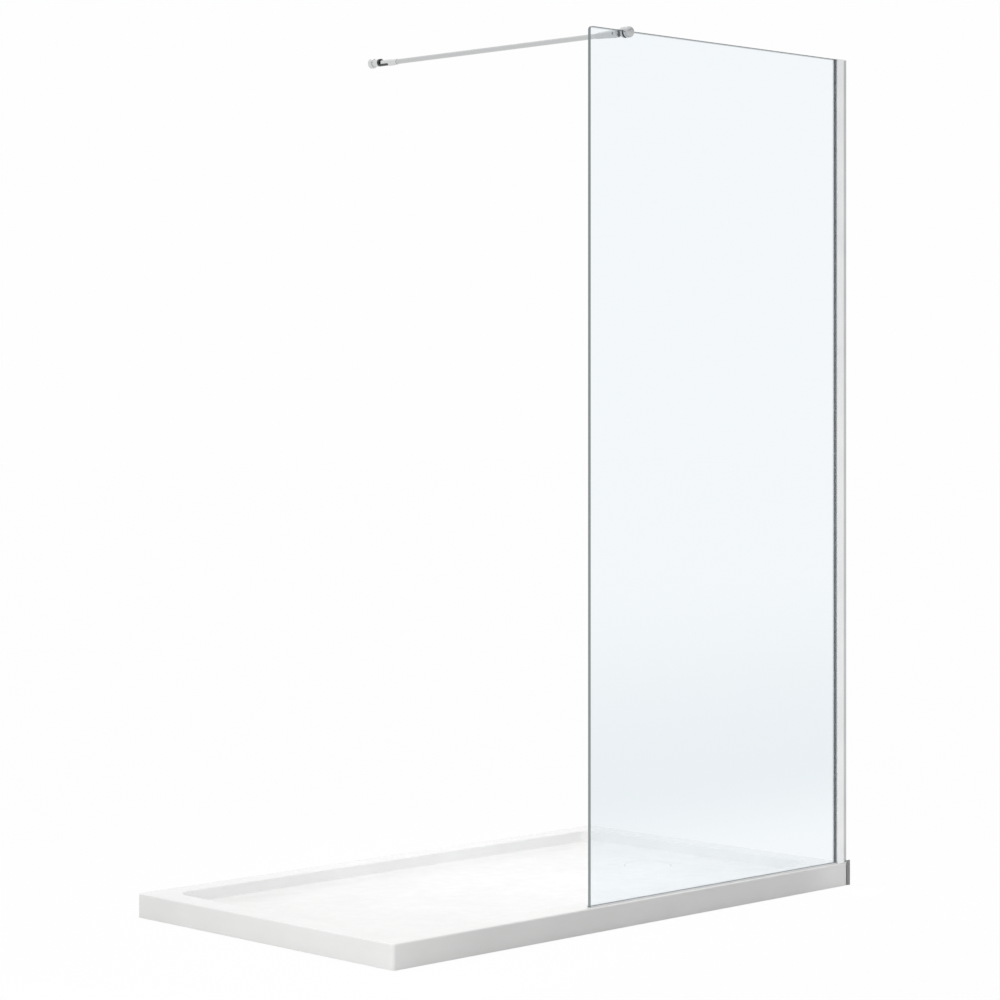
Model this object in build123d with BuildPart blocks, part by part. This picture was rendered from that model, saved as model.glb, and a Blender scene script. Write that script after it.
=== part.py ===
from build123d import *
import os

# Walk-in shower screen: a fixed glass sheet on a low shower tray, held by a wall channel and a support bar.
# Millimetres. The origin is the centre of the tray's underside.
# +X points to the side wall that holds the channel, +Y to the back wall that holds the bar, +Z up.

# Tray
tray_length = 1488.0
tray_width = 860.0
tray_height = 55.0
tray_corner_radius = 7.0
tray_edge_radius = 4.0
core_least_radius = 1.0
rim_width = 60.0
rim_inner_radius = 2.5
recess_corner_radius = 40.0
recess_depth = 22.0
recess_wall_run = 20.0
floor_fall = 6.0
cap_thickness = 4.0

# Waste hole and its lift-off cover
waste_from_side_wall = 249.0
waste_radius = 45.0
waste_rebate_radius = 58.0
waste_rebate_depth = 8.0
waste_flat_margin = 22.0
cover_gap = 0.8
cover_thickness = 5.0
cover_edge_radius = 0.5
foot_radius = 4.0
foot_count = 3
foot_seat_gap = 0.3

# Strip between the tray and the side wall
seal_strip_thickness = 12.0
seal_strip_drop = 4.0
seal_strip_radius = 2.0
seal_lip_thickness = 2.5
seal_lip_rise = 5.0

# Glass sheet
glass_thickness = 8.0
glass_height = 1942.0
glass_set_back = 12.0
glass_reach = 893.0
glass_corner_radius = 8.0
glass_arris = 0.6
glass_in_channel = 16.0

# Sill rail and what the glass stands on
sill_width = 14.0
sill_height = 3.0
sill_base = 1.0
sill_groove_side = 0.5
sill_end_gap = 0.3
sill_arris = 0.5
glass_foot_height = 2.0
foot_seal_side_gap = 0.2

# Wall channel, its clip-on trims, gaskets and cap
channel_depth = 34.0
channel_wall = 1.5
channel_web = 1.8
channel_half_width = 9.0
trim_thickness = 1.0
trim_length = 23.0
trim_lip = 2.4
trim_edge_radius = 0.6
gasket_clearance = 0.1
gasket_proud = 1.5
gasket_seat = 12.0
gasket_nose_roundness = 0.45
channel_cap_thickness = 2.0
cap_peg_length = 12.0
cap_peg_width = 4.0
cap_peg_gap = 0.2
cap_notch_gap = 0.4
glass_travel = 8.0
channel_screw_radius = 2.75
channel_screw_count = 4
channel_screw_end = 101.0

# Clamp on the glass's top edge
bar_from_free_edge = 118.0
bar_below_glass_top = 3.5
clamp_radius = 12.5
clamp_front = 15.0
clamp_rear = 8.0
clamp_front_radius = 8.0
clamp_rear_radius = 4.5
liner_thickness = 1.0
liner_sunk = 0.4
grub_radius = 2.0
grub_below_bar = 9.2
grub_sunk = 2.2
grub_socket = 2.0
grub_socket_depth = 1.5

# Swivel screws at both ends of the bar, and the studs that join turned pieces
pivot_radius = 2.5
pivot_clearance = 0.08
pivot_head_radius = 4.0
pivot_head_height = 2.5
pivot_head_gap = 0.2
pivot_tail_sunk = 0.8
pivot_socket = 3.0
pivot_socket_depth = 1.4
stud_radius = 3.0
stud_length = 5.0

# Swivel on the clamp
neck_radius = 7.0
neck_length = 10.0
tongue_thickness = 5.0
tongue_root_half = 5.5
tongue_inset = 0.4
slot_clearance = 0.2
head_radius = 9.3
head_end_gap = 0.7
head_solid = 6.0
glass_sleeve_overlap = 46.0

# Support bar
bar_radius = 6.0
bar_wall = 1.0
bar_fit = 0.05
sleeve_mouth_wall = 0.75
bar_grub_radius = 2.0
bar_grub_inset = 10.0
bar_grub_tip = 1.0
bar_grub_sunk = 0.2
bar_grub_socket = 2.0
bar_grub_socket_depth = 1.5

# Swivel at the wall: the bar's lap rests over the knuckle's ledge
lap_radius = 8.0
lap_below_bar = 1.8
lap_gap = 0.2
lap_end_gap = 1.0
ledge_reach = 22.0
collar_gap = 0.7
collar_length = 4.8
collar_solid = 8.0
wall_sleeve_overlap = 19.0
knuckle_radius = 9.2
knuckle_thickness = 6.0
knuckle_edge_radius = 0.6

# Foot on the back wall
foot_rise = 2.8
flange_radius = 12.0
flange_thickness = 10.0
flange_edge_radius = 2.0
flange_thread_radius = 4.0
flange_thread_depth = 6.5
boss_radius = 8.8
boss_length = 19.0

# Places worked out from the sizes above
side_wall_x = tray_length / 2
back_wall_y = tray_width / 2
front_y = -tray_width / 2
glass_y = front_y + glass_set_back
free_edge_x = side_wall_x - glass_reach
channel_front_x = side_wall_x - channel_depth
glass_end_x = channel_front_x + glass_in_channel
glass_bottom_z = tray_height + glass_foot_height
glass_top_z = glass_bottom_z + glass_height
channel_top_z = glass_top_z - channel_cap_thickness
glass_front_y = glass_y - glass_thickness / 2
glass_rear_y = glass_y + glass_thickness / 2
floor_edge_z = tray_height - recess_depth
floor_low_z = floor_edge_z - floor_fall
waste_x = side_wall_x - waste_from_side_wall
waste_seat_z = floor_low_z - waste_rebate_depth
cover_bottom_z = floor_low_z - cover_thickness
bar_x = free_edge_x + bar_from_free_edge
bar_z = glass_top_z - bar_below_glass_top
clamp_front_y = glass_front_y - clamp_front
clamp_rear_y = glass_rear_y + clamp_rear
neck_face_y = clamp_rear_y + neck_length
clamp_pivot_y = neck_face_y + head_end_gap + head_radius
tongue_radius = head_radius - tongue_inset
slot_radius = tongue_radius + slot_clearance
slot_half = tongue_thickness / 2 + slot_clearance
slot_end_y = clamp_pivot_y + slot_radius
tube_start_y = slot_end_y + head_solid
glass_sleeve_mouth_y = tube_start_y + glass_sleeve_overlap
foot_z = bar_z + foot_rise
flange_front_y = back_wall_y - flange_thickness
boss_face_y = flange_front_y - boss_length
knuckle_face_y = boss_face_y - knuckle_thickness
wall_pivot_y = knuckle_face_y - lap_end_gap - lap_radius
lap_bottom_z = bar_z - lap_below_bar
ledge_top_z = lap_bottom_z - lap_gap
ledge_bottom_z = foot_z - knuckle_radius
collar_start_y = wall_pivot_y - ledge_reach - collar_gap
collar_end_y = collar_start_y - collar_length
tube_end_y = collar_start_y - collar_solid
wall_sleeve_mouth_y = tube_end_y - wall_sleeve_overlap
sleeve_bore_radius = bar_radius + bar_fit
sleeve_mouth_radius = sleeve_bore_radius + sleeve_mouth_wall

upright = Plane.XY
glass_plane = Plane(origin=(0, glass_y, 0), x_dir=(1, 0, 0), z_dir=(0, -1, 0))


def bar_plane(y):
    """Plane square to the bar at y, with its normal along +Y and its origin on the bar's axis."""
    return Plane(origin=(bar_x, y, bar_z), x_dir=(1, 0, 0), z_dir=(0, 1, 0))


def foot_plane(y):
    """Plane square to the bar at y, with its origin on the wall foot's axis, a little above the bar's."""
    return Plane(origin=(bar_x, y, foot_z), x_dir=(1, 0, 0), z_dir=(0, 1, 0))


def level(z, y):
    """Level plane at z that faces up, with its origin on the bar's line at y."""
    return Plane(origin=(bar_x, y, z), x_dir=(1, 0, 0), z_dir=(0, 0, 1))


def recess_sizes(grow):
    """Length and width of the recess at its mouth and at the edge of its floor."""
    mouth = (tray_length - 2 * rim_width + grow, tray_width - 2 * rim_width + grow)
    floor = (mouth[0] - 2 * recess_wall_run, mouth[1] - 2 * recess_wall_run)
    return mouth, floor


def finish(piece, name):
    """Label a finished piece and write its STEP file."""
    piece.part.label = name
    export_step(piece.part, f"parts/{name}.step")


os.makedirs("parts", exist_ok=True)

# Tray core: the cast block under the white cap, with the recess cut deeper by the cap's thickness
core_mouth, core_floor = recess_sizes(cap_thickness)
waste_flat = 2 * (waste_rebate_radius + waste_flat_margin)
with BuildPart() as tray_core:
    with BuildSketch(upright):
        core_radius = max(tray_corner_radius - cap_thickness, core_least_radius)
        RectangleRounded(tray_length - 2 * cap_thickness, tray_width - 2 * cap_thickness, core_radius)
    extrude(amount=tray_height - cap_thickness)
    with BuildSketch(Plane.XY.offset(tray_height - cap_thickness)):
        RectangleRounded(*core_mouth, recess_corner_radius)
    with BuildSketch(Plane.XY.offset(floor_edge_z - cap_thickness)):
        RectangleRounded(*core_floor, recess_corner_radius)
    loft(mode=Mode.SUBTRACT)
    with BuildSketch(Plane.XY.offset(floor_edge_z - cap_thickness)):
        RectangleRounded(*core_floor, recess_corner_radius)
    with BuildSketch(Plane.XY.offset(floor_low_z - cap_thickness)):
        with Locations((waste_x, 0)):
            RectangleRounded(waste_flat + cap_thickness, waste_flat + cap_thickness, recess_corner_radius)
    loft(mode=Mode.SUBTRACT)
    with BuildSketch(Plane.XY.offset(waste_seat_z - cap_thickness)):
        with Locations((waste_x, 0)):
            Circle(waste_rebate_radius + cap_thickness)
    extrude(amount=floor_low_z - waste_seat_z, mode=Mode.SUBTRACT)
    with BuildSketch(upright):
        with Locations((waste_x, 0)):
            Circle(waste_radius)
    extrude(amount=tray_height, mode=Mode.SUBTRACT)
finish(tray_core, "tray_core")

# Tray cap: the white shell over the core, with its skirt down to the floor
cap_mouth, cap_floor = recess_sizes(0)
with BuildPart() as tray_cap:
    with BuildSketch(upright):
        RectangleRounded(tray_length, tray_width, tray_corner_radius)
    extrude(amount=tray_height)
    fillet(tray_cap.faces().sort_by(Axis.Z)[-1].outer_wire().edges(), tray_edge_radius)
    with BuildSketch(Plane.XY.offset(tray_height)):
        RectangleRounded(*cap_mouth, recess_corner_radius)
    with BuildSketch(Plane.XY.offset(floor_edge_z)):
        RectangleRounded(*cap_floor, recess_corner_radius)
    loft(mode=Mode.SUBTRACT)
    fillet(tray_cap.faces().sort_by(Axis.Z)[-1].inner_wires()[0].edges(), rim_inner_radius)
    with BuildSketch(Plane.XY.offset(floor_edge_z)):
        RectangleRounded(*cap_floor, recess_corner_radius)
    with BuildSketch(Plane.XY.offset(floor_low_z)):
        with Locations((waste_x, 0)):
            RectangleRounded(waste_flat, waste_flat, recess_corner_radius)
    loft(mode=Mode.SUBTRACT)
    with BuildSketch(Plane.XY.offset(waste_seat_z)):
        with Locations((waste_x, 0)):
            Circle(waste_rebate_radius)
    extrude(amount=floor_low_z - waste_seat_z, mode=Mode.SUBTRACT)
    with BuildSketch(upright):
        with Locations((waste_x, 0)):
            Circle(waste_radius)
    extrude(amount=tray_height, mode=Mode.SUBTRACT)
    add(tray_core.part, mode=Mode.SUBTRACT)
finish(tray_cap, "tray_cap")

# Waste cover: a flat disc that lies flush with the floor around the hole
cover_radius = waste_rebate_radius - cover_gap
with BuildPart() as waste_cover:
    with BuildSketch(Plane.XY.offset(cover_bottom_z)):
        with Locations((waste_x, 0)):
            Circle(cover_radius)
    extrude(amount=cover_thickness)
    fillet(waste_cover.faces().sort_by(Axis.Z)[-1].edges(), cover_edge_radius)
finish(waste_cover, "waste_cover")

# Cover feet: soft pads under the cover, on the ledge around the hole
foot_ring = (waste_radius + cover_radius) / 2
with BuildPart() as cover_feet:
    with BuildSketch(Plane.XY.offset(waste_seat_z + foot_seat_gap)):
        with Locations((waste_x, 0)):
            with PolarLocations(foot_ring, foot_count):
                Circle(foot_radius)
    extrude(amount=cover_bottom_z - waste_seat_z - foot_seat_gap)
finish(cover_feet, "cover_feet")

# Side seal strip: the dark strip between the tray's end and the side wall, with a raised lip at the front
with BuildPart() as side_seal_strip:
    with BuildSketch(upright):
        with Locations((side_wall_x, 0)):
            Rectangle(seal_strip_thickness, tray_width, align=(Align.MIN, Align.CENTER))
    extrude(amount=tray_height - seal_strip_drop)
    with BuildSketch(upright):
        with Locations((side_wall_x, front_y)):
            Rectangle(seal_strip_thickness, seal_lip_thickness, align=(Align.MIN, Align.MIN))
    extrude(amount=tray_height + seal_lip_rise)
    outer_edges = side_seal_strip.edges().filter_by(Axis.Z).group_by(Axis.X)[-1].group_by(Axis.Y)
    fillet(outer_edges[0] + outer_edges[-1], seal_strip_radius)
finish(side_seal_strip, "side_seal_strip")

# Sill rail: the low grooved rail on the tray's front rim, from the glass's free edge to the channel
sill_length = channel_front_x - sill_end_gap - free_edge_x
groove_width = glass_thickness + 2 * sill_groove_side
with BuildPart() as sill_rail:
    with BuildSketch(Plane.XY.offset(tray_height)):
        with Locations((free_edge_x, glass_y)):
            Rectangle(sill_length, sill_width, align=(Align.MIN, Align.CENTER))
    extrude(amount=sill_height)
    with BuildSketch(Plane.XY.offset(tray_height + sill_base)):
        with Locations((free_edge_x, glass_y)):
            Rectangle(sill_length, groove_width, align=(Align.MIN, Align.CENTER))
    extrude(amount=sill_height, mode=Mode.SUBTRACT)
    long_edges = sill_rail.edges().filter_by(Axis.X).group_by(Axis.Z)[-1]
    chamfer(long_edges.sort_by(Axis.Y)[0], sill_arris)
    chamfer(long_edges.sort_by(Axis.Y)[-1], sill_arris)
finish(sill_rail, "sill_rail")

# Sill seal: the soft strip in the rail's groove that the glass stands on
seal_height = glass_foot_height - sill_base
with BuildPart() as sill_seal:
    with BuildSketch(Plane.XY.offset(tray_height + sill_base)):
        with Locations((free_edge_x, glass_y)):
            Rectangle(sill_length, groove_width - 2 * foot_seal_side_gap, align=(Align.MIN, Align.CENTER))
    extrude(amount=seal_height)
finish(sill_seal, "sill_seal")

# Wall channel: the U-section screwed to the side wall, open towards the glass
leg_front_x = channel_front_x + trim_thickness
leg_inner = channel_half_width - channel_wall
channel_height = channel_top_z - tray_height
screw_span = channel_height - 2 * channel_screw_end
with BuildPart() as wall_channel:
    with BuildSketch(Plane.XY.offset(tray_height)):
        with Locations((side_wall_x, glass_y)):
            Rectangle(side_wall_x - leg_front_x, 2 * channel_half_width, align=(Align.MAX, Align.CENTER))
        with Locations((side_wall_x - channel_web, glass_y)):
            Rectangle(side_wall_x - leg_front_x, 2 * leg_inner, align=(Align.MAX, Align.CENTER),
                      mode=Mode.SUBTRACT)
    extrude(amount=channel_height)
    web_middle = Plane(origin=(side_wall_x, glass_y, tray_height + channel_height / 2),
                       x_dir=(0, 1, 0), z_dir=(1, 0, 0))
    with BuildSketch(web_middle):
        with GridLocations(0, screw_span / (channel_screw_count - 1), 1, channel_screw_count):
            Circle(channel_screw_radius)
    extrude(amount=-2 * channel_web, mode=Mode.SUBTRACT)
finish(wall_channel, "wall_channel")


def trim_section(side):
    """L-section of a clip-on trim: a long face outside the leg and a lip over the leg's end."""
    outer = channel_half_width + trim_thickness
    face_y = glass_y + side * (channel_half_width + trim_thickness / 2)
    lip_y = glass_y + side * (outer - (trim_thickness + trim_lip) / 2)
    with Locations((channel_front_x + trim_length / 2, face_y)):
        Rectangle(trim_length, trim_thickness)
    with Locations((channel_front_x + trim_thickness / 2, lip_y)):
        Rectangle(trim_thickness, trim_thickness + trim_lip)


# Trims: the bright strips clipped over the channel's front and rear legs
for side, name in ((-1, "outer_trim"), (1, "inner_trim")):
    with BuildPart() as trim:
        with BuildSketch(Plane.XY.offset(tray_height)):
            trim_section(side)
        extrude(amount=channel_height)
        corner = trim.edges().filter_by(Axis.Z).group_by(Axis.X)[0]
        fillet(corner.sort_by(Axis.Y)[0 if side < 0 else -1], trim_edge_radius)
    finish(trim, name)

# Gaskets: the dark strips between the legs and the glass, with a round nose that stands proud
gasket_thickness = leg_inner - glass_thickness / 2 - gasket_clearance
nose_thickness = channel_half_width - trim_lip - glass_thickness / 2 - gasket_clearance
for side, name in ((-1, "outer_gasket"), (1, "inner_gasket")):
    with BuildPart() as gasket:
        with BuildSketch(Plane.XY.offset(tray_height + sill_height)):
            root_y = glass_y + side * (leg_inner - gasket_thickness / 2)
            nose_y = glass_y + side * (glass_thickness / 2 + gasket_clearance + nose_thickness / 2)
            with Locations((leg_front_x + gasket_seat / 2, root_y)):
                Rectangle(gasket_seat, gasket_thickness)
            with Locations((leg_front_x - (gasket_proud + trim_thickness) / 2, nose_y)):
                Rectangle(gasket_proud + trim_thickness, nose_thickness)
        extrude(amount=channel_height - sill_height)
        nose_edges = gasket.edges().filter_by(Axis.Z).group_by(Axis.X)[0]
        fillet(nose_edges, gasket_nose_roundness * nose_thickness)
    finish(gasket, name)

# Setting block: the hard pad under the glass inside the channel
with BuildPart() as setting_block:
    with BuildSketch(Plane.XY.offset(tray_height)):
        with Locations((side_wall_x - channel_web, glass_y)):
            Rectangle(glass_in_channel + glass_travel, glass_thickness, align=(Align.MAX, Align.CENTER))
    extrude(amount=glass_foot_height)
finish(setting_block, "setting_block")

# Channel cap: closes the channel's top around the glass, with a peg down into the channel
with BuildPart() as channel_cap:
    with BuildSketch(Plane.XY.offset(channel_top_z)):
        with Locations((side_wall_x, glass_y)):
            cap_width = 2 * (channel_half_width + trim_thickness)
            Rectangle(channel_depth, cap_width, align=(Align.MAX, Align.CENTER))
        with Locations((channel_front_x, glass_y)):
            notch_length = glass_in_channel + glass_travel + cap_notch_gap
            notch_width = glass_thickness + 2 * cap_notch_gap
            Rectangle(notch_length, notch_width, align=(Align.MIN, Align.CENTER), mode=Mode.SUBTRACT)
    extrude(amount=channel_cap_thickness)
    with BuildSketch(Plane.XY.offset(channel_top_z - cap_peg_length)):
        with Locations((side_wall_x - channel_web - cap_peg_gap, glass_y)):
            Rectangle(cap_peg_width, 2 * (leg_inner - cap_peg_gap), align=(Align.MAX, Align.CENTER))
    extrude(amount=cap_peg_length)
finish(channel_cap, "channel_cap")

# Glass panel: one sheet, with a rounded corner at the top of its free edge and ground arrises
with BuildPart() as glass_panel:
    with BuildSketch(glass_plane):
        with Locations((free_edge_x, glass_bottom_z)):
            Rectangle(glass_end_x - free_edge_x, glass_height, align=(Align.MIN, Align.MIN))
    extrude(amount=glass_thickness / 2, both=True)
    across = glass_panel.edges().filter_by(Axis.Y)
    fillet(across.group_by(Axis.Z)[-1].sort_by(Axis.X)[0], glass_corner_radius)
    chamfer(glass_panel.faces().sort_by(Axis.Y)[0].edges(), glass_arris)
    chamfer(glass_panel.faces().sort_by(Axis.Y)[-1].edges(), glass_arris)
finish(glass_panel, "glass_panel")

# Clamp body: a round block with a domed front, slotted from below to sit on the glass's top edge
clamp_slot_front = glass_front_y - liner_thickness
clamp_slot_rear = glass_rear_y + liner_thickness
clamp_slot_width = clamp_slot_rear - clamp_slot_front
slot_top_z = glass_top_z + liner_thickness
grub_plane = Plane(origin=(bar_x, clamp_rear_y, bar_z - grub_below_bar), x_dir=(1, 0, 0), z_dir=(0, 1, 0))
with BuildPart() as clamp_body:
    with BuildSketch(bar_plane(clamp_front_y)):
        Circle(clamp_radius)
    extrude(amount=clamp_rear_y - clamp_front_y)
    fillet(clamp_body.faces().sort_by(Axis.Y)[0].edges(), clamp_front_radius)
    fillet(clamp_body.faces().sort_by(Axis.Y)[-1].edges(), clamp_rear_radius)
    with BuildSketch(level(slot_top_z, glass_y)):
        Rectangle(4 * clamp_radius, clamp_slot_width)
    extrude(amount=-3 * clamp_radius, mode=Mode.SUBTRACT)
    with BuildSketch(bar_plane(clamp_rear_y)):
        Circle(stud_radius)
    extrude(amount=-stud_length, mode=Mode.SUBTRACT)
    with BuildSketch(grub_plane):
        Circle(grub_radius)
    extrude(amount=clamp_slot_rear - clamp_rear_y, mode=Mode.SUBTRACT)
finish(clamp_body, "clamp_body")

# Clamp liner: the soft U-shaped liner between the clamp and the glass
with BuildPart() as clamp_liner:
    with BuildSketch(bar_plane(clamp_slot_front)):
        Circle(clamp_radius - liner_sunk)
    extrude(amount=clamp_slot_width)
    with BuildSketch(level(slot_top_z, glass_y)):
        Rectangle(4 * clamp_radius, 2 * clamp_slot_width)
    extrude(amount=2 * clamp_radius, mode=Mode.SUBTRACT)
    with BuildSketch(level(glass_top_z, glass_y)):
        Rectangle(4 * clamp_radius, glass_thickness)
    extrude(amount=-3 * clamp_radius, mode=Mode.SUBTRACT)
finish(clamp_liner, "clamp_liner")

# Clamp grub screw: sunk in the clamp's rear, presses the liner on the glass from the inside
with BuildPart() as clamp_grub_screw:
    with BuildSketch(grub_plane.offset(-grub_sunk)):
        Circle(grub_radius)
    extrude(amount=clamp_slot_rear - clamp_rear_y + grub_sunk)
    with BuildSketch(grub_plane.offset(-grub_sunk)):
        RegularPolygon(grub_socket / 2, 6)
    extrude(amount=-grub_socket_depth, mode=Mode.SUBTRACT)
finish(clamp_grub_screw, "clamp_grub_screw")

# Clamp eye: a round neck screwed into the clamp, with a flat eye that the bar's fork swivels on
with BuildPart() as clamp_eye:
    with BuildSketch(bar_plane(clamp_rear_y)):
        Circle(neck_radius)
    extrude(amount=neck_length)
    with BuildSketch(bar_plane(clamp_rear_y)):
        Circle(stud_radius)
    extrude(amount=-stud_length)
    with BuildSketch(level(bar_z - tongue_thickness / 2, clamp_pivot_y)):
        Circle(tongue_radius)
        root_length = clamp_pivot_y - neck_face_y
        with Locations((0, -root_length / 2)):
            Rectangle(2 * tongue_root_half, root_length)
        Circle(pivot_radius + pivot_clearance, mode=Mode.SUBTRACT)
    extrude(amount=tongue_thickness)
finish(clamp_eye, "clamp_eye")


def make_pivot_screw(pivot_y, tail_z, top_z, name):
    """Upright cap screw that pins a swivel, with its head just under top_z and a hexagon socket in it."""
    head_z = top_z - pivot_head_height - pivot_head_gap
    with BuildPart() as screw:
        with BuildSketch(level(tail_z, pivot_y)):
            Circle(pivot_radius)
        extrude(amount=head_z - tail_z)
        with BuildSketch(level(head_z, pivot_y)):
            Circle(pivot_head_radius)
        extrude(amount=pivot_head_height)
        with BuildSketch(level(head_z + pivot_head_height, pivot_y)):
            RegularPolygon(pivot_socket / 2, 6)
        extrude(amount=-pivot_socket_depth, mode=Mode.SUBTRACT)
    finish(screw, name)


def head_recess(pivot_y, floor_z):
    """Round recess for a pivot screw's head, open at the top."""
    with BuildSketch(level(floor_z, pivot_y)) as recess:
        Circle(pivot_head_radius + pivot_head_gap)
    extrude(recess.sketch, amount=head_radius, mode=Mode.SUBTRACT)


def grub_hole(y):
    """Hole for a grub screw, from the bar's axis down through whatever is below it."""
    with BuildSketch(level(bar_z, y)) as hole:
        Circle(bar_grub_radius)
    extrude(hole.sketch, amount=-2 * head_radius, mode=Mode.SUBTRACT)


def cone_along_bar(low_y, low_radius, high_y, high_radius):
    """Round piece along the bar that tapers from one radius to the other."""
    with Locations(bar_plane(low_y)):
        Cone(low_radius, high_radius, high_y - low_y, align=(Align.CENTER, Align.CENTER, Align.MIN))


# Fork head: the round end of the glass end fitting, made around its pivot and then set on the bar's axis
with BuildPart() as fork_head:
    with BuildSketch(Plane(origin=(0, -head_radius, 0), x_dir=(1, 0, 0), z_dir=(0, 1, 0))):
        Circle(head_radius)
    extrude(amount=slot_radius + head_radius)
    with BuildSketch(Plane.XY.offset(-head_radius)):
        Circle(head_radius)
        with Locations((0, slot_radius / 2)):
            Rectangle(2 * head_radius, slot_radius)
    extrude(amount=2 * head_radius, mode=Mode.INTERSECT)

# Glass end fitting: a round fork on the clamp's eye, tapering back to a sleeve over the tube's end
with BuildPart() as glass_end_fitting:
    with Locations((bar_x, clamp_pivot_y, bar_z)):
        add(fork_head.part)
    cone_along_bar(slot_end_y, head_radius, glass_sleeve_mouth_y, sleeve_mouth_radius)
    with BuildSketch(bar_plane(tube_start_y)):
        Circle(sleeve_bore_radius)
    extrude(amount=glass_sleeve_overlap, mode=Mode.SUBTRACT)
    with BuildSketch(level(bar_z - slot_half, clamp_pivot_y)):
        Circle(slot_radius)
        slot_reach = tongue_root_half + slot_clearance
        with Locations((0, slot_reach - head_radius)):
            Rectangle(3 * head_radius, 2 * head_radius)
    extrude(amount=2 * slot_half, mode=Mode.SUBTRACT)
    with BuildSketch(level(bar_z - head_radius, clamp_pivot_y)):
        Circle(pivot_radius)
    extrude(amount=2 * head_radius, mode=Mode.SUBTRACT)
    head_recess(clamp_pivot_y, bar_z + head_radius - pivot_head_height - pivot_head_gap)
    glass_grub_y = glass_sleeve_mouth_y - bar_grub_inset
    grub_hole(glass_grub_y)
finish(glass_end_fitting, "glass_end_fitting")

clamp_pivot_tail_z = bar_z - head_radius + pivot_tail_sunk
make_pivot_screw(clamp_pivot_y, clamp_pivot_tail_z, bar_z + head_radius, "clamp_pivot_screw")

# Support bar: the round tube between the two fittings, with a hole below for each grub screw
wall_grub_y = wall_sleeve_mouth_y + bar_grub_inset
with BuildPart() as support_bar:
    with BuildSketch(bar_plane(tube_start_y)):
        Circle(bar_radius)
        Circle(bar_radius - bar_wall, mode=Mode.SUBTRACT)
    extrude(amount=tube_end_y - tube_start_y)
    grub_hole(glass_grub_y)
    grub_hole(wall_grub_y)
finish(support_bar, "support_bar")

# Bar lap: the half-round end of the wall end fitting, made around its pivot and then set on the bar's axis
lap_reach = wall_pivot_y - collar_start_y
with BuildPart() as bar_lap:
    with BuildSketch(Plane(origin=(0, -lap_reach, 0), x_dir=(1, 0, 0), z_dir=(0, 1, 0))):
        Circle(lap_radius)
    extrude(amount=lap_reach + lap_radius)
    with BuildSketch(Plane.XY.offset(-lap_below_bar)):
        Circle(lap_radius)
        with Locations((0, -lap_reach / 2)):
            Rectangle(2 * lap_radius, lap_reach)
    extrude(amount=2 * lap_radius, mode=Mode.INTERSECT)

# Wall end fitting: a sleeve over the tube's end that widens to a collar, with the lap beyond it
with BuildPart() as wall_end_fitting:
    with Locations((bar_x, wall_pivot_y, bar_z)):
        add(bar_lap.part)
    with BuildSketch(bar_plane(collar_end_y)):
        Circle(lap_radius)
    extrude(amount=collar_length)
    cone_along_bar(wall_sleeve_mouth_y, sleeve_mouth_radius, collar_end_y, lap_radius)
    with BuildSketch(bar_plane(wall_sleeve_mouth_y)):
        Circle(sleeve_bore_radius)
    extrude(amount=wall_sleeve_overlap, mode=Mode.SUBTRACT)
    with BuildSketch(level(bar_z - lap_radius, wall_pivot_y)):
        Circle(pivot_radius + pivot_clearance)
    extrude(amount=2 * lap_radius, mode=Mode.SUBTRACT)
    head_recess(wall_pivot_y, bar_z + lap_radius - pivot_head_height - 2 * pivot_head_gap)
    grub_hole(wall_grub_y)
finish(wall_end_fitting, "wall_end_fitting")


def sleeve_radius(y, mouth_y, wide_y, wide_radius):
    """Outer radius at y of a sleeve that widens from its mouth to wide_radius at wide_y."""
    return sleeve_mouth_radius + (wide_radius - sleeve_mouth_radius) * (y - mouth_y) / (wide_y - mouth_y)


def make_bar_grub_screw(y, outer_radius, name):
    """Grub screw below the bar, sunk a little in a surface of the given radius, with a hexagon socket."""
    length = outer_radius - bar_grub_sunk - bar_grub_tip
    with BuildPart() as screw:
        with BuildSketch(level(bar_z - outer_radius + bar_grub_sunk, y)):
            Circle(bar_grub_radius)
        extrude(amount=length)
        with BuildSketch(level(bar_z - outer_radius + bar_grub_sunk, y)):
            RegularPolygon(bar_grub_socket / 2, 6)
        extrude(amount=bar_grub_socket_depth, mode=Mode.SUBTRACT)
    finish(screw, name)


glass_grub_radius = sleeve_radius(glass_grub_y, glass_sleeve_mouth_y, slot_end_y, head_radius)
wall_grub_radius = sleeve_radius(wall_grub_y, wall_sleeve_mouth_y, collar_end_y, lap_radius)
make_bar_grub_screw(glass_grub_y, glass_grub_radius, "glass_end_grub_screw")
make_bar_grub_screw(wall_grub_y, wall_grub_radius, "wall_end_grub_screw")

# Wall flange: the round foot on the back wall with its boss, threaded at the back for the wall's stud
with BuildPart() as wall_flange:
    with BuildSketch(foot_plane(flange_front_y)):
        Circle(flange_radius)
    extrude(amount=flange_thickness)
    fillet(wall_flange.faces().sort_by(Axis.Y)[0].edges(), flange_edge_radius)
    with BuildSketch(foot_plane(boss_face_y)):
        Circle(boss_radius)
    extrude(amount=boss_length)
    with BuildSketch(foot_plane(boss_face_y)):
        Circle(stud_radius)
    extrude(amount=stud_length, mode=Mode.SUBTRACT)
    with BuildSketch(foot_plane(back_wall_y)):
        Circle(flange_thread_radius)
    extrude(amount=-flange_thread_depth, mode=Mode.SUBTRACT)
finish(wall_flange, "wall_flange")

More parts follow.
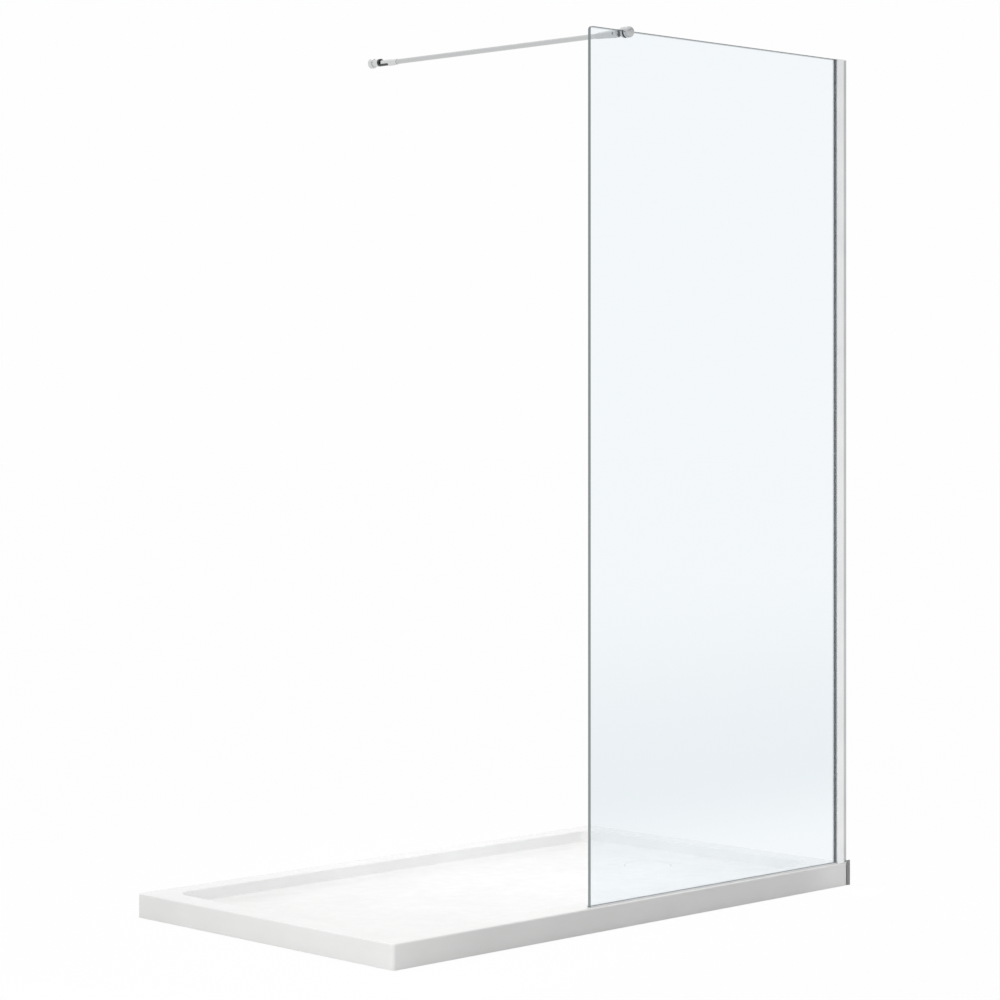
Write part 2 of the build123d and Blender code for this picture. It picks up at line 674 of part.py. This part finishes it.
# Wall knuckle: the dark swivel piece on the foot, a disc with a long ledge under the bar's lap
with BuildPart() as wall_knuckle:
    with BuildSketch(foot_plane(wall_pivot_y - ledge_reach)):
        Circle(knuckle_radius)
    extrude(amount=knuckle_face_y - wall_pivot_y + ledge_reach)
    with BuildSketch(level(ledge_bottom_z, wall_pivot_y)):
        Circle(ledge_reach)
    extrude(amount=ledge_top_z - ledge_bottom_z, mode=Mode.INTERSECT)
    with BuildSketch(level(ledge_bottom_z + pivot_tail_sunk, wall_pivot_y)):
        Circle(pivot_radius)
    extrude(amount=ledge_top_z - ledge_bottom_z, mode=Mode.SUBTRACT)
    with BuildSketch(foot_plane(knuckle_face_y)):
        Circle(knuckle_radius)
    extrude(amount=knuckle_thickness)
    fillet(wall_knuckle.faces().sort_by(Axis.Y)[-1].edges(), knuckle_edge_radius)
    with BuildSketch(foot_plane(boss_face_y)):
        Circle(stud_radius)
    extrude(amount=stud_length)
finish(wall_knuckle, "wall_knuckle")

make_pivot_screw(wall_pivot_y, ledge_bottom_z + pivot_tail_sunk, bar_z + lap_radius, "wall_pivot_screw")
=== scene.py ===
import math

import bpy
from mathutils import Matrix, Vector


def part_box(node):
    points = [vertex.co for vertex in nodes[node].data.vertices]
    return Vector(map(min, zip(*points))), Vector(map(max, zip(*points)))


# Walk-in shower screen: looks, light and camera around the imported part. Metres, in the part's frame.

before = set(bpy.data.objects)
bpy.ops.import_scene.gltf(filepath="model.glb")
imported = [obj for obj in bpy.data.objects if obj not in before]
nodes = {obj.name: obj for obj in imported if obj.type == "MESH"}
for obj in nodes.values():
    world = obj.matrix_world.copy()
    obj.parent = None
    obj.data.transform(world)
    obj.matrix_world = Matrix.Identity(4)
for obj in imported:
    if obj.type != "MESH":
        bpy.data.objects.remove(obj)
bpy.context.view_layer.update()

# Camera at the photograph's place: level, looking at the tray's near corner side
CAMERA_PLACE = (-4.6671, -4.7250, 1.1599)
CAMERA_TURN = math.radians(-44.565)
CAMERA_LENS = 101.88
CAMERA_SHIFT = -0.0936

# Floor and backdrop
BACKDROP_WHITE = 0.99
FLOOR_GLOW = 1.02
FLOOR_WHITE = (0.62, 0.62, 0.62, 1.0)
FLOOR_SIZE = 80.0
FLOOR_DROP = 0.0003
FLOOR_SHADOW_SHARE = 0.07

# Light of the room by direction
SKY_TOP = 1.05
SKY_BRIGHT_SIDE = 0.92
SKY_DARK_SIDE = 0.15
HORIZON_LOW = 0.10
HORIZON_HIGH = 0.40
DARK_SIDE_DIRECTION = (0.45, -0.89, 0.0)

# Soft lamps: left of the tray, over it, and two small ones at the ends of its front face.
# Power is in watts and spread in degrees. The small ones don't show in gloss or through glass.
LAMPS = {
    "left_lamp": {"place": (-2.0, -0.45, 0.3), "aim": (-0.744, 0.0, 0.03), "size": 0.5, "power": 3.3,
                  "spread": 180.0, "in_gloss": True},
    "top_lamp": {"place": (0.18, 0.05, 2.3), "aim": (0.18, 0.0, 0.0), "size": 0.6, "power": 2.5,
                 "spread": 75.0, "in_gloss": True},
    "corner_lamp": {"place": (-0.8, -0.7, 0.2), "aim": (-0.7, -0.43, 0.03), "size": 0.12, "power": 0.14,
                    "spread": 180.0, "in_gloss": False},
    "end_lamp": {"place": (0.7, -0.55, 0.03), "aim": (0.7, -0.43, 0.03), "size": 0.05, "power": 0.019,
                 "spread": 180.0, "in_gloss": False},
}


class Nodes:
    """Short calls for building a node tree: each adds one node and returns an output socket."""

    def __init__(self, tree):
        self.tree = tree
        tree.nodes.clear()

    def add(self, kind, **settings):
        node = self.tree.nodes.new(kind)
        for name, value in settings.items():
            setattr(node, name, value)
        return node

    def feed(self, socket, value):
        if isinstance(value, bpy.types.NodeSocket):
            self.tree.links.new(value, socket)
        else:
            socket.default_value = value

    def math(self, operation, first, second=0.0, clamp=False):
        node = self.add("ShaderNodeMath", operation=operation, use_clamp=clamp)
        self.feed(node.inputs[0], first)
        self.feed(node.inputs[1], second)
        return node.outputs[0]

    def span(self, value, low, high, to_low=0.0, to_high=1.0, smooth=False):
        """Maps value from low..high to to_low..to_high, held at both ends."""
        kind = "SMOOTHSTEP" if smooth else "LINEAR"
        node = self.add("ShaderNodeMapRange", interpolation_type=kind)
        node.inputs["From Min"].default_value = low
        node.inputs["From Max"].default_value = high
        node.inputs["To Min"].default_value = to_low
        node.inputs["To Max"].default_value = to_high
        self.feed(node.inputs["Value"], value)
        return node.outputs["Result"]

    def blend(self, share, first, second):
        """Colour between first and second."""
        node = self.add("ShaderNodeMix", data_type="RGBA")
        self.feed(node.inputs["Factor"], share)
        self.feed(node.inputs[6], first)
        self.feed(node.inputs[7], second)
        return node.outputs[2]

    def place(self, stretch=(1.0, 1.0, 1.0)):
        """Position on the piece, in metres, stretched along the axes."""
        where = self.add("ShaderNodeTexCoord")
        scaled = self.add("ShaderNodeMapping")
        scaled.inputs["Scale"].default_value = stretch
        self.tree.links.new(where.outputs["Object"], scaled.inputs["Vector"])
        return scaled.outputs["Vector"]

    def noise(self, place, scale, detail=3.0, roughness=0.5):
        node = self.add("ShaderNodeTexNoise")
        self.feed(node.inputs["Vector"], place)
        node.inputs["Scale"].default_value = scale
        node.inputs["Detail"].default_value = detail
        node.inputs["Roughness"].default_value = roughness
        return node.outputs["Fac"]

    def bump(self, height, strength, distance):
        node = self.add("ShaderNodeBump")
        node.inputs["Strength"].default_value = strength
        node.inputs["Distance"].default_value = distance
        self.tree.links.new(height, node.inputs["Height"])
        return node.outputs["Normal"]

    def surface(self, **inputs):
        """Principled surface, with its inputs named in words."""
        node = self.add("ShaderNodeBsdfPrincipled")
        for name, value in inputs.items():
            self.feed(node.inputs[name.replace("_", " ")], value)
        return node.outputs["BSDF"]

    def mix_surfaces(self, share, first, second):
        node = self.add("ShaderNodeMixShader")
        self.feed(node.inputs[0], share)
        self.tree.links.new(first, node.inputs[1])
        self.tree.links.new(second, node.inputs[2])
        return node.outputs[0]

    def end(self, surface, kind="ShaderNodeOutputMaterial"):
        output = self.add(kind)
        self.tree.links.new(surface, output.inputs["Surface"])


def new_material(name):
    material = bpy.data.materials.new(name)
    material.use_nodes = True
    return material, Nodes(material.node_tree)


# White acrylic: smooth, with a faint ripple and a slightly uneven sheen
ACRYLIC_WHITE = (0.86, 0.86, 0.852, 1.0)
ACRYLIC_SHADE = (0.83, 0.83, 0.822, 1.0)


def acrylic_material():
    material, n = new_material("white_acrylic")
    place = n.place()
    mottle = n.noise(place, 7.0)
    ripple = n.noise(place, 260.0, detail=2.0)
    color = n.blend(n.span(mottle, 0.35, 0.65), ACRYLIC_SHADE, ACRYLIC_WHITE)
    roughness = n.span(n.noise(place, 28.0), 0.3, 0.7, 0.12, 0.18)
    surface = n.surface(Base_Color=color, Roughness=roughness, IOR=1.49,
                        Normal=n.bump(ripple, 0.06, 0.0004))
    n.end(surface)
    return material


# Cast resin core: rough and grainy
def core_material():
    material, n = new_material("tray_core")
    place = n.place()
    grain = n.noise(place, 420.0, detail=6.0, roughness=0.7)
    color = n.blend(n.span(grain, 0.35, 0.65), (0.36, 0.35, 0.33, 1.0), (0.50, 0.49, 0.46, 1.0))
    surface = n.surface(Base_Color=color, Roughness=0.85, Normal=n.bump(grain, 0.5, 0.001))
    n.end(surface)
    return material


# Bright aluminium: anodised, with fine lines along the extrusion
ALUMINIUM_DEEP = (0.80, 0.81, 0.82, 1.0)
ALUMINIUM_PALE = (0.86, 0.865, 0.87, 1.0)
CHANNEL_DEEP = (0.50, 0.505, 0.51, 1.0)
CHANNEL_PALE = (0.56, 0.565, 0.57, 1.0)
SILL_DEEP = (0.60, 0.605, 0.61, 1.0)
SILL_PALE = (0.66, 0.665, 0.67, 1.0)


def aluminium_material(name, stretch, deep=ALUMINIUM_DEEP, pale=ALUMINIUM_PALE):
    material, n = new_material(name)
    lines = n.noise(n.place(stretch), 900.0, detail=2.0)
    cloud = n.noise(n.place(), 12.0)
    color = n.blend(n.span(cloud, 0.3, 0.7), deep, pale)
    roughness = n.span(lines, 0.3, 0.7, 0.24, 0.36)
    surface = n.surface(Base_Color=color, Metallic=1.0, Roughness=roughness,
                        Normal=n.bump(lines, 0.10, 0.0002))
    n.end(surface)
    return material


# Chrome: plating with hairline marks, brighter on the bar than on the satin fittings
CHROME_COLOR = (0.56, 0.565, 0.57, 1.0)
CLAMP_COLOR = (0.53, 0.54, 0.545, 1.0)
FOOT_COLOR = (0.68, 0.685, 0.69, 1.0)
EYE_NECK_GAP = 0.0006


def chrome_material(name, color, least_roughness, most_roughness):
    material, n = new_material(name)
    marks = n.noise(n.place((1.0, 0.05, 1.0)), 1400.0, detail=2.0)
    haze = n.noise(n.place(), 60.0)
    roughness = n.span(haze, 0.3, 0.7, least_roughness, most_roughness)
    surface = n.surface(Base_Color=color, Metallic=1.0, Roughness=roughness,
                        Normal=n.bump(marks, 0.02, 0.0001))
    n.end(surface)
    return material


# Near-black metal of the swivels: painted shade, standing in for the shade in the swivels' gaps
def painted_shade_metal_surface(n):
    grain = n.noise(n.place(), 900.0, detail=3.0)
    color = n.blend(n.span(grain, 0.3, 0.7), (0.020, 0.020, 0.022, 1.0), (0.035, 0.035, 0.038, 1.0))
    return n.surface(Base_Color=color, Roughness=0.38, Normal=n.bump(grain, 0.15, 0.0002))


def painted_shade_metal_material():
    material, n = new_material("dark_metal")
    n.end(painted_shade_metal_surface(n))
    return material


# Clamp eye: a near-black neck, which is painted shade of the swivel's gap, and a bare bright tongue
def eye_material():
    material, n = new_material("clamp_eye")
    where = n.add("ShaderNodeTexCoord")
    split = n.add("ShaderNodeSeparateXYZ")
    n.feed(split.inputs[0], where.outputs["Object"])
    neck_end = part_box("glass_end_fitting")[0].y - EYE_NECK_GAP
    # Short of the tongue the neck takes the near-black painted shade; the tongue stays bright chrome
    on_tongue = n.math("GREATER_THAN", split.outputs["Y"], neck_end)
    marks = n.noise(n.place((1.0, 0.05, 1.0)), 1400.0, detail=2.0)
    bright = n.surface(Base_Color=CLAMP_COLOR, Metallic=1.0, Roughness=n.span(marks, 0.3, 0.7, 0.30, 0.38),
                       Normal=n.bump(marks, 0.04, 0.0001))
    n.end(n.mix_surfaces(on_tongue, painted_shade_metal_surface(n), bright))
    return material


# Soft dark seals
def rubber_material(name, dark, light):
    material, n = new_material(name)
    grain = n.noise(n.place(), 700.0, detail=4.0)
    patch = n.noise(n.place(), 25.0)
    color = n.blend(n.span(patch, 0.3, 0.7), dark, light)
    roughness = n.span(grain, 0.3, 0.7, 0.55, 0.75)
    surface = n.surface(Base_Color=color, Roughness=roughness, Normal=n.bump(grain, 0.3, 0.0003))
    n.end(surface)
    return material


# Turned steel of the screws
def screw_material():
    material, n = new_material("screw_steel")
    rings = n.noise(n.place((1.0, 1.0, 6.0)), 1500.0, detail=2.0)
    surface = n.surface(Base_Color=(0.56, 0.56, 0.57, 1.0), Metallic=1.0,
                        Roughness=n.span(rings, 0.3, 0.7, 0.25, 0.4),
                        Normal=n.bump(rings, 0.15, 0.0001))
    n.end(surface)
    return material


# Hard plastic of the setting block
def block_material():
    material, n = new_material("setting_block")
    grain = n.noise(n.place(), 500.0)
    surface = n.surface(Base_Color=(0.07, 0.07, 0.072, 1.0), Roughness=n.span(grain, 0.3, 0.7, 0.45, 0.6),
                        Normal=n.bump(grain, 0.2, 0.0003))
    n.end(surface)
    return material


# Glass: a clear pale sheet, with darker ground edges, a painted reflection as a darker band low on the
# sheet, and a painted dark line along its top
GLASS_TINT_HIGH = (0.905, 0.943, 0.970, 1.0)
GLASS_PAINTED_REFLECTION = (0.825, 0.879, 0.904, 1.0)
GLASS_SHADE = (0.975, 0.985, 0.990, 1.0)
# Painted reflection band: it starts 0.05 m above the foot, is darkest 0.25 m above it and fades out 1.2 m
# below the top
GLASS_BAND_TOP = 1.2
GLASS_BAND = 0.25
GLASS_BAND_END = 0.05
GLASS_EDGE = (0.27, 0.302, 0.312, 1.0)
# Painted dark line: over the top 4 mm the faces take up to 40 % of the edge's dark look
GLASS_RIM_BAND = 0.004
GLASS_RIM_SHARE = 0.40
FACE_NORMAL_LEAST = 0.9
LINER_PRESSED = (0.62, 0.63, 0.64, 1.0)


def glass_material():
    material, n = new_material("clear_glass")
    low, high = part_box("glass_panel")
    where = n.add("ShaderNodeTexCoord")
    split = n.add("ShaderNodeSeparateXYZ")
    n.feed(split.inputs[0], where.outputs["Object"])
    height = split.outputs["Z"]
    # Painted reflection: the sheet's tint turns darker in a band low on it, by height
    from_above = n.span(height, high.z - GLASS_BAND_TOP, low.z + GLASS_BAND, 0.0, 1.0, smooth=True)
    from_below = n.span(height, low.z + GLASS_BAND_END, low.z + GLASS_BAND, 0.0, 1.0, smooth=True)
    tint_with_painted_reflection = n.blend(n.math("MULTIPLY", from_above, from_below), GLASS_TINT_HIGH, GLASS_PAINTED_REFLECTION)
    wave = n.noise(n.place(), 3.0, detail=1.0)
    haze = n.noise(n.place(), 9.0)
    sheet = n.surface(Base_Color=tint_with_painted_reflection, Roughness=n.span(haze, 0.4, 0.7, 0.0, 0.03),
                      Transmission_Weight=1.0, IOR=1.45, Normal=n.bump(wave, 0.05, 0.0005))
    grain = n.noise(n.place(), 800.0)
    edge = n.surface(Base_Color=GLASS_EDGE, Roughness=n.span(grain, 0.3, 0.7, 0.15, 0.3), IOR=1.5,
                     Normal=n.bump(grain, 0.15, 0.0002))
    facing = n.add("ShaderNodeNewGeometry")
    facing_split = n.add("ShaderNodeSeparateXYZ")
    n.feed(facing_split.inputs[0], facing.outputs["True Normal"])
    across = n.math("ABSOLUTE", facing_split.outputs["Y"])
    on_edge = n.math("LESS_THAN", across, FACE_NORMAL_LEAST)
    # Painted dark line near the top of the faces, standing in for the top edge seen through the glass from
    # below
    near_top = n.span(height, high.z - GLASS_RIM_BAND, high.z - GLASS_RIM_BAND / 2, 0.0, GLASS_RIM_SHARE)
    on_edge = n.math("MAXIMUM", on_edge, near_top)
    clear = n.add("ShaderNodeBsdfTransparent")
    clear.inputs["Color"].default_value = GLASS_SHADE
    path = n.add("ShaderNodeLightPath")
    sheet = n.mix_surfaces(path.outputs["Is Shadow Ray"], sheet, clear.outputs[0])
    glass = n.mix_surfaces(on_edge, sheet, edge)
    pressed = n.surface(Base_Color=LINER_PRESSED, Roughness=n.span(grain, 0.3, 0.7, 0.5, 0.7))
    n.end(n.mix_surfaces(under_liner(n), glass, pressed))
    return material


def under_liner(n):
    """One where the clamp's round liner presses on the glass."""
    body_low, body_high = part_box("clamp_body")
    liner_low, liner_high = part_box("clamp_liner")
    middle = [(low + high) / 2 for low, high in zip(body_low, body_high)]
    where = n.add("ShaderNodeTexCoord")
    from_axis = n.add("ShaderNodeVectorMath", operation="SUBTRACT")
    n.feed(from_axis.inputs[0], where.outputs["Object"])
    from_axis.inputs[1].default_value = middle
    flat = n.add("ShaderNodeVectorMath", operation="MULTIPLY")
    n.feed(flat.inputs[0], from_axis.outputs[0])
    flat.inputs[1].default_value = (1.0, 0.0, 1.0)
    away = n.add("ShaderNodeVectorMath", operation="LENGTH")
    n.feed(away.inputs[0], flat.outputs[0])
    return n.math("LESS_THAN", away.outputs["Value"], (liner_high.x - liner_low.x) / 2)


def dress(material, *names):
    """Gives the named nodes one material."""
    for name in names:
        mesh = nodes[name].data
        mesh.materials.clear()
        mesh.materials.append(material)


acrylic = acrylic_material()
upright_aluminium = aluminium_material("upright_aluminium", (1.0, 1.0, 0.01))
sill_aluminium = aluminium_material("sill_aluminium", (0.01, 1.0, 1.0), SILL_DEEP, SILL_PALE)
channel_aluminium = aluminium_material("channel_aluminium", (1.0, 1.0, 0.01), CHANNEL_DEEP, CHANNEL_PALE)
chrome = chrome_material("chrome", CHROME_COLOR, 0.16, 0.24)
clamp_chrome = chrome_material("clamp_chrome", CLAMP_COLOR, 0.30, 0.38)
foot_chrome = chrome_material("foot_chrome", FOOT_COLOR, 0.34, 0.42)
steel = screw_material()
seal = rubber_material("dark_seal", (0.035, 0.035, 0.037, 1.0), (0.055, 0.055, 0.057, 1.0))
gasket = rubber_material("gasket", (0.40, 0.405, 0.41, 1.0), (0.45, 0.455, 0.46, 1.0))
side_seal = rubber_material("side_seal", (0.29, 0.29, 0.29, 1.0), (0.34, 0.34, 0.34, 1.0))
liner = rubber_material("pale_liner", (0.86, 0.87, 0.88, 1.0), (0.90, 0.91, 0.92, 1.0))

dress(acrylic, "tray_cap", "waste_cover")
dress(core_material(), "tray_core")
dress(side_seal, "side_seal_strip")
dress(seal, "cover_feet", "sill_seal")
dress(gasket, "outer_gasket", "inner_gasket")
dress(liner, "clamp_liner")
dress(upright_aluminium, "outer_trim", "inner_trim", "channel_cap")
dress(channel_aluminium, "wall_channel")
dress(sill_aluminium, "sill_rail")
dress(block_material(), "setting_block")
dress(glass_material(), "glass_panel")
dress(chrome, "support_bar")
dress(clamp_chrome, "clamp_body", "glass_end_fitting")
dress(foot_chrome, "wall_end_fitting", "wall_flange")
# The knuckle's near-black colour is painted shade, standing in for the shade in the wall swivel's gap
dress(painted_shade_metal_material(), "wall_knuckle")
dress(eye_material(), "clamp_eye")
dress(steel, "clamp_grub_screw", "clamp_pivot_screw", "glass_end_grub_screw", "wall_end_grub_screw",
      "wall_pivot_screw")


def shows_backdrop(n):
    """One for rays that show the backdrop: seen directly, in metal or through glass."""
    path = n.add("ShaderNodeLightPath")
    direct = n.math("MAXIMUM", path.outputs["Is Camera Ray"], path.outputs["Is Transmission Ray"])
    return n.math("MAXIMUM", direct, path.outputs["Is Glossy Ray"]), path


def make_floor():
    """White floor that shows as the backdrop and keeps a faint shadow of the part."""
    bpy.ops.mesh.primitive_plane_add(size=FLOOR_SIZE, location=(0.0, 0.0, -FLOOR_DROP))
    floor = bpy.context.object
    floor.name = "floor"
    material, n = new_material("floor")
    plain = n.surface(Base_Color=FLOOR_WHITE, Roughness=0.9, Specular_IOR_Level=0.0)
    glow = n.add("ShaderNodeEmission")
    glow.inputs["Color"].default_value = (1.0, 1.0, 1.0, 1.0)
    glow.inputs["Strength"].default_value = FLOOR_GLOW
    shown, path = shows_backdrop(n)
    share = n.math("MULTIPLY", shown, 1.0 - FLOOR_SHADOW_SHARE)
    n.end(n.mix_surfaces(share, plain, glow.outputs[0]))
    floor.data.materials.append(material)


def make_world():
    """Light of the room: bright above and behind, darker on the front right. The backdrop shows white."""
    world = bpy.data.worlds.new("room")
    bpy.context.scene.world = world
    world.use_nodes = True
    n = Nodes(world.node_tree)
    direction = n.add("ShaderNodeTexCoord").outputs["Generated"]
    split = n.add("ShaderNodeSeparateXYZ")
    n.feed(split.inputs[0], direction)
    toward_dark = n.add("ShaderNodeVectorMath", operation="DOT_PRODUCT")
    n.feed(toward_dark.inputs[0], direction)
    toward_dark.inputs[1].default_value = DARK_SIDE_DIRECTION
    side = n.span(toward_dark.outputs["Value"], -0.6, 0.8, SKY_BRIGHT_SIDE, SKY_DARK_SIDE, smooth=True)
    above = n.span(split.outputs["Z"], 0.1, 0.9, 0.0, 1.0, smooth=True)
    rise = n.math("MULTIPLY", above, n.math("SUBTRACT", SKY_TOP, side))
    strength = n.math("ADD", side, rise)
    lit = n.add("ShaderNodeBackground")
    n.feed(lit.inputs["Strength"], strength)
    white = n.add("ShaderNodeBackground")
    white.inputs["Color"].default_value = (1.0, 1.0, 1.0, 1.0)
    white.inputs["Strength"].default_value = BACKDROP_WHITE
    path = n.add("ShaderNodeLightPath")
    seen = n.math("MAXIMUM", path.outputs["Is Camera Ray"], path.outputs["Is Transmission Ray"])
    level = n.span(n.math("ABSOLUTE", split.outputs["Z"]), HORIZON_LOW, HORIZON_HIGH, 1.0, 0.0, smooth=True)
    seen = n.math("MAXIMUM", seen, n.math("MULTIPLY", path.outputs["Is Glossy Ray"], level))
    n.feed(lit.inputs["Color"], (1.0, 1.0, 1.0, 1.0))
    n.end(n.mix_surfaces(seen, lit.outputs[0], white.outputs[0]), "ShaderNodeOutputWorld")


def make_lamp(name, place, aim, size, power, spread, in_gloss):
    """Square soft lamp, turned to face its aim."""
    light = bpy.data.lights.new(name, "AREA")
    light.shape = "SQUARE"
    light.size = size
    light.energy = power
    light.spread = math.radians(spread)
    lamp = bpy.data.objects.new(name, light)
    lamp.visible_glossy = in_gloss
    lamp.visible_transmission = in_gloss
    bpy.context.scene.collection.objects.link(lamp)
    lamp.location = place
    reach = [end - start for end, start in zip(aim, place)]
    across = math.hypot(reach[0], reach[1])
    lamp.rotation_euler = (math.atan2(across, -reach[2]), 0.0, math.atan2(-reach[0], reach[1]))


def make_camera():
    """Level camera, with its frame shifted down to the part."""
    data = bpy.data.cameras.new("camera")
    data.lens = CAMERA_LENS
    data.shift_y = CAMERA_SHIFT
    data.clip_end = 200.0
    camera = bpy.data.objects.new("camera", data)
    bpy.context.scene.collection.objects.link(camera)
    camera.location = CAMERA_PLACE
    camera.rotation_euler = (math.radians(90.0), 0.0, CAMERA_TURN)
    bpy.context.scene.camera = camera


make_floor()
make_world()
for lamp_name, settings in LAMPS.items():
    make_lamp(lamp_name, **settings)
make_camera()
bpy.context.scene.view_settings.view_transform = "Standard"
